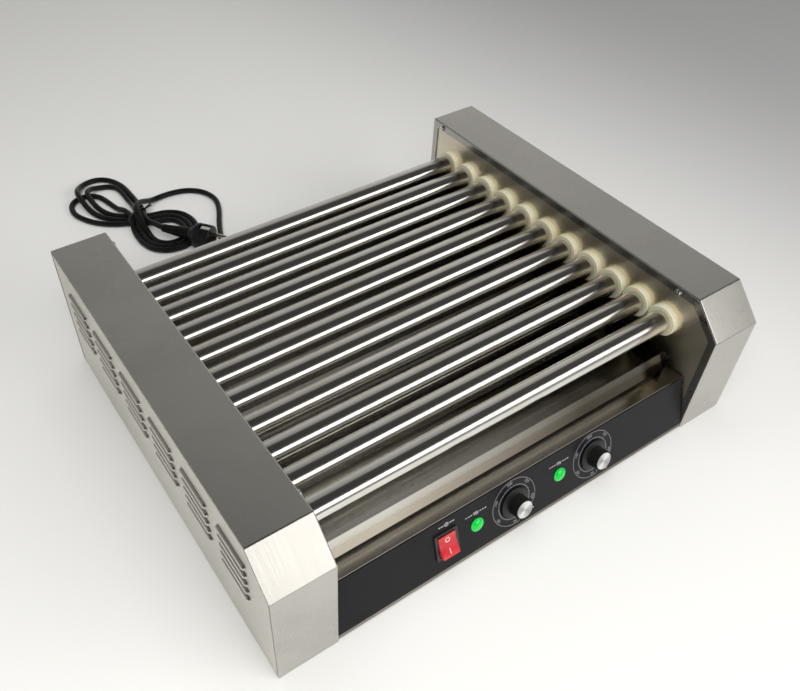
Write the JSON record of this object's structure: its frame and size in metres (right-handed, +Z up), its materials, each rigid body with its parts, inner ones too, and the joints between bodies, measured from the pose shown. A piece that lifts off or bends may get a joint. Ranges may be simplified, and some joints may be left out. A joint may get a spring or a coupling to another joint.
{
  "type": "hot dog roller grill",
  "caption": "Countertop roller grill: heated tubes turn between two folded steel housings over a slide-out drip tray, with a sloping control panel and a tied mains cord.",
  "frame": {"origin": "on the surface it stands on, under the middle of the grill with its cord left out", "axes": "+X to the operator's right along the rollers, +Y away from the operator, +Z up"},
  "size_m": [0.5864, 0.8465, 0.164],
  "materials": {
    "brushed_stainless": "brushed, fine vertical grain",
    "satin_stainless": "satin",
    "bright_stainless": "bright, nearly a mirror",
    "polished_roller": "polished",
    "bush_plastic": "waxy, slightly translucent",
    "bracket_steel": "zinc plated",
    "heater_sheath": "heat darkened",
    "chain_steel": "oiled",
    "motor_paint": "semi-gloss paint",
    "fascia_black": "semi-gloss film",
    "switch_black": "semi-gloss",
    "rocker_red": "gloss, slightly translucent",
    "lens_green": "gloss, translucent",
    "knob_black": "satin",
    "cap_aluminium": "spun",
    "screw_steel": "bright",
    "terminal_plastic": "matt",
    "wire_insulation": "woven sleeve",
    "gland_plastic": "matt",
    "cord_rubber": "satin",
    "tie_plastic": "gloss",
    "contact_metal": "nickel plated",
    "foot_rubber": "matt"
  },
  "bodies": {
    "root": {"left_end_cover": "brushed_stainless", "right_end_cover": "brushed_stainless", "left_side_plate": "satin_stainless", "right_side_plate": "satin_stainless", "left_inner_plate": "bright_stainless", "right_inner_plate": "bright_stainless", "left_bushes": "bush_plastic", "right_bushes": "bush_plastic", "heater_rails": "bracket_steel", "heating_elements": "heater_sheath", "drive_chain": "chain_steel", "gearmotor": "motor_paint", "control_box": "bright_stainless", "fascia_panel": "fascia_black", "rear_panel": "satin_stainless", "base_pan": "bracket_steel", "rubber_feet": "foot_rubber", "switch_housing": "switch_black", "lamp_lenses": "lens_green", "lamp_bodies": "switch_black", "thermostats": "bracket_steel", "housing_screws": "screw_steel", "terminal_block": "terminal_plastic", "internal_wiring": "wire_insulation", "cable_gland": "gland_plastic", "cord_boot": "cord_rubber", "cord": "cord_rubber", "cord_hank": "cord_rubber", "cord_tie": "tie_plastic", "plug_body": "cord_rubber", "plug_contacts": "contact_metal"},
    "roller_01": {"roller_01_tube": "polished_roller", "roller_01_sprocket": "chain_steel"},
    "roller_02": {"roller_02_tube": "polished_roller", "roller_02_sprocket": "chain_steel"},
    "roller_03": {"roller_03_tube": "polished_roller", "roller_03_sprocket": "chain_steel"},
    "roller_04": {"roller_04_tube": "polished_roller", "roller_04_sprocket": "chain_steel"},
    "roller_05": {"roller_05_tube": "polished_roller", "roller_05_sprocket": "chain_steel"},
    "roller_06": {"roller_06_tube": "polished_roller", "roller_06_sprocket": "chain_steel"},
    "roller_07": {"roller_07_tube": "polished_roller", "roller_07_sprocket": "chain_steel"},
    "roller_08": {"roller_08_tube": "polished_roller", "roller_08_sprocket": "chain_steel"},
    "roller_09": {"roller_09_tube": "polished_roller", "roller_09_sprocket": "chain_steel"},
    "roller_10": {"roller_10_tube": "polished_roller", "roller_10_sprocket": "chain_steel"},
    "roller_11": {"roller_11_tube": "polished_roller", "roller_11_sprocket": "chain_steel"},
    "motor_drive": {"drive_sprocket": "chain_steel"},
    "drip_tray": {"drip_tray": "bright_stainless"},
    "rocker": {"rocker_button": "rocker_red"},
    "left_knob": {"left_knob": "knob_black", "left_knob_cap": "cap_aluminium"},
    "right_knob": {"right_knob": "knob_black", "right_knob_cap": "cap_aluminium"}
  },
  "joints": [
    {"name": "roller_01_spin", "type": "hinge", "parent": "root", "child": "roller_01", "pos_m": [0, -0.1705, 0.1165], "axis": [1, 0, 0], "continuous": true},
    {"name": "roller_02_spin", "type": "hinge", "parent": "root", "child": "roller_02", "pos_m": [0, -0.1341, 0.1165], "axis": [1, 0, 0], "continuous": true},
    {"name": "roller_03_spin", "type": "hinge", "parent": "root", "child": "roller_03", "pos_m": [0, -0.0977, 0.1165], "axis": [1, 0, 0], "continuous": true},
    {"name": "roller_04_spin", "type": "hinge", "parent": "root", "child": "roller_04", "pos_m": [0, -0.0613, 0.1165], "axis": [1, 0, 0], "continuous": true},
    {"name": "roller_05_spin", "type": "hinge", "parent": "root", "child": "roller_05", "pos_m": [0, -0.0249, 0.1165], "axis": [1, 0, 0], "continuous": true},
    {"name": "roller_06_spin", "type": "hinge", "parent": "root", "child": "roller_06", "pos_m": [0, 0.0115, 0.1165], "axis": [1, 0, 0], "continuous": true},
    {"name": "roller_07_spin", "type": "hinge", "parent": "root", "child": "roller_07", "pos_m": [0, 0.0479, 0.1165], "axis": [1, 0, 0], "continuous": true},
    {"name": "roller_08_spin", "type": "hinge", "parent": "root", "child": "roller_08", "pos_m": [0, 0.0843, 0.1165], "axis": [1, 0, 0], "continuous": true},
    {"name": "roller_09_spin", "type": "hinge", "parent": "root", "child": "roller_09", "pos_m": [0, 0.1207, 0.1165], "axis": [1, 0, 0], "continuous": true},
    {"name": "roller_10_spin", "type": "hinge", "parent": "root", "child": "roller_10", "pos_m": [0, 0.1571, 0.1165], "axis": [1, 0, 0], "continuous": true},
    {"name": "roller_11_spin", "type": "hinge", "parent": "root", "child": "roller_11", "pos_m": [0, 0.1935, 0.1165], "axis": [1, 0, 0], "continuous": true},
    {"name": "motor_spin", "type": "hinge", "parent": "root", "child": "motor_drive", "pos_m": [0.25, 0.0115, 0.03602], "axis": [1, 0, 0], "continuous": true},
    {"name": "drip_tray_slide", "type": "slide", "parent": "root", "child": "drip_tray", "axis": [0, -1, 0], "range_m": [0, 0.38]},
    {"name": "rocker_tilt", "type": "hinge", "parent": "root", "child": "rocker", "pos_m": [-0.1005, -0.22535, 0.03708], "axis": [1, 0, 0], "range_deg": [0, 22]},
    {"name": "left_knob_turn", "type": "hinge", "parent": "root", "child": "left_knob", "pos_m": [-0.016, -0.23183, 0.03915], "axis": [0, -0.9524, 0.3048], "range_deg": [0, 300]},
    {"name": "right_knob_turn", "type": "hinge", "parent": "root", "child": "right_knob", "pos_m": [0.091, -0.23183, 0.03915], "axis": [0, -0.9524, 0.3048], "range_deg": [-300, 0]}
  ],
  "couplings": [
    {"joint": "roller_02_spin", "follows": "roller_01_spin", "ratio": 1},
    {"joint": "roller_03_spin", "follows": "roller_01_spin", "ratio": 1},
    {"joint": "roller_04_spin", "follows": "roller_01_spin", "ratio": 1},
    {"joint": "roller_05_spin", "follows": "roller_01_spin", "ratio": 1},
    {"joint": "roller_06_spin", "follows": "roller_01_spin", "ratio": 1},
    {"joint": "roller_07_spin", "follows": "roller_01_spin", "ratio": 1},
    {"joint": "roller_08_spin", "follows": "roller_01_spin", "ratio": 1},
    {"joint": "roller_09_spin", "follows": "roller_01_spin", "ratio": 1},
    {"joint": "roller_10_spin", "follows": "roller_01_spin", "ratio": 1},
    {"joint": "roller_11_spin", "follows": "roller_01_spin", "ratio": 1},
    {"joint": "motor_spin", "follows": "roller_01_spin", "ratio": 1}
  ]
}
